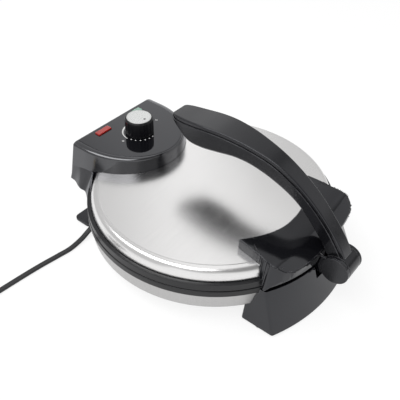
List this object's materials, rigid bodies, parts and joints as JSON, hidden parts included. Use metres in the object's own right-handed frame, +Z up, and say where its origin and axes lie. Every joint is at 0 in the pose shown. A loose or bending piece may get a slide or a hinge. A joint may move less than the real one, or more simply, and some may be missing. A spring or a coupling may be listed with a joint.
{
  "type": "electric roti maker",
  "caption": "Countertop electric flatbread maker with a round base and domed steel lid on a rear hinge, a dial housing and a curved press lever at the front.",
  "frame": {"origin": "middle of the appliance's footprint on the table, without the cord", "axes": "+Z up, +Y towards the rear hinge and control housing, +X to the user's right when facing the lever"},
  "size_m": [0.4759, 0.4054, 0.1619],
  "materials": {
    "brushed_steel": "fine straight brushing",
    "gloss_black": "polished",
    "satin_black": "satin",
    "plain_steel": "plain zinc-plated steel",
    "coated_aluminium": "black non-stick coating",
    "shiny_aluminium": "bright sheet",
    "silver_cap": "satin silver",
    "red_lens": "clear red lens",
    "green_lens": "clear green lens",
    "lamp_glass": "neon lamp bulb",
    "ceramic": "ceramic",
    "brass": "plain",
    "black_rubber": "matt",
    "black_cord": "smooth flat twin cord"
  },
  "bodies": {
    "base": {"base_pan": "brushed_steel", "base_ring": "gloss_black", "base_floor": "plain_steel", "base_screw_1": "plain_steel", "base_screw_2": "plain_steel", "base_screw_3": "plain_steel", "base_screw_4": "plain_steel", "lower_plate": "coated_aluminium", "lower_heating_element": "plain_steel", "lower_reflector": "shiny_aluminium", "thermal_fuse": "shiny_aluminium", "terminal_block": "ceramic", "front_leg": "gloss_black", "leg_screw_1": "plain_steel", "leg_screw_2": "plain_steel", "rear_stand": "satin_black", "stand_screw_1": "plain_steel", "stand_screw_2": "plain_steel", "foot_front_left": "black_rubber", "foot_front_right": "black_rubber", "foot_rear_left": "black_rubber", "foot_rear_right": "black_rubber", "base_hinge_bracket": "satin_black", "hinge_pin": "plain_steel", "strain_relief": "black_rubber", "power_cord": "black_cord", "cord_coil": "black_cord", "cord_tie": "satin_black", "cord_tail": "black_cord", "plug_body": "black_rubber", "plug_blade_left": "brass", "plug_blade_right": "brass"},
    "lid": {"lid_cover": "brushed_steel", "lid_frame": "gloss_black", "control_panel": "gloss_black", "power_lamp_lens": "red_lens", "ready_lamp_lens": "green_lens", "power_lamp": "lamp_glass", "ready_lamp": "lamp_glass", "thermostat": "ceramic", "thermostat_nut": "plain_steel", "upper_plate": "coated_aluminium", "upper_heating_element": "plain_steel", "upper_reflector": "shiny_aluminium", "lid_hinge_bracket": "satin_black", "saddle": "gloss_black", "saddle_screw_1": "plain_steel", "saddle_screw_2": "plain_steel", "pivot_pin": "plain_steel", "pivot_cap_left": "satin_black", "pivot_cap_right": "satin_black"},
    "knob_dial": {"knob": "gloss_black", "knob_cap": "silver_cap", "thermostat_shaft": "brass"},
    "press_lever": {"lever_upper_shell": "satin_black", "lever_lower_shell": "satin_black", "lever_screw_1": "plain_steel", "lever_screw_2": "plain_steel"}
  },
  "joints": [
    {"name": "lid_hinge", "type": "hinge", "parent": "base", "child": "lid", "pos_m": [0, 0.1638, 0.046], "axis": [-1, 0, 0], "range_deg": [0, 100]},
    {"name": "lever_pivot", "type": "hinge", "parent": "lid", "child": "press_lever", "pos_m": [0, -0.156, 0.0569], "axis": [1, 0, 0], "range_deg": [0, 150]},
    {"name": "knob_turn", "type": "hinge", "parent": "lid", "child": "knob_dial", "pos_m": [0, 0.1258, 0.0985], "axis": [0, 0, -1], "range_deg": [0, 270]}
  ]
}
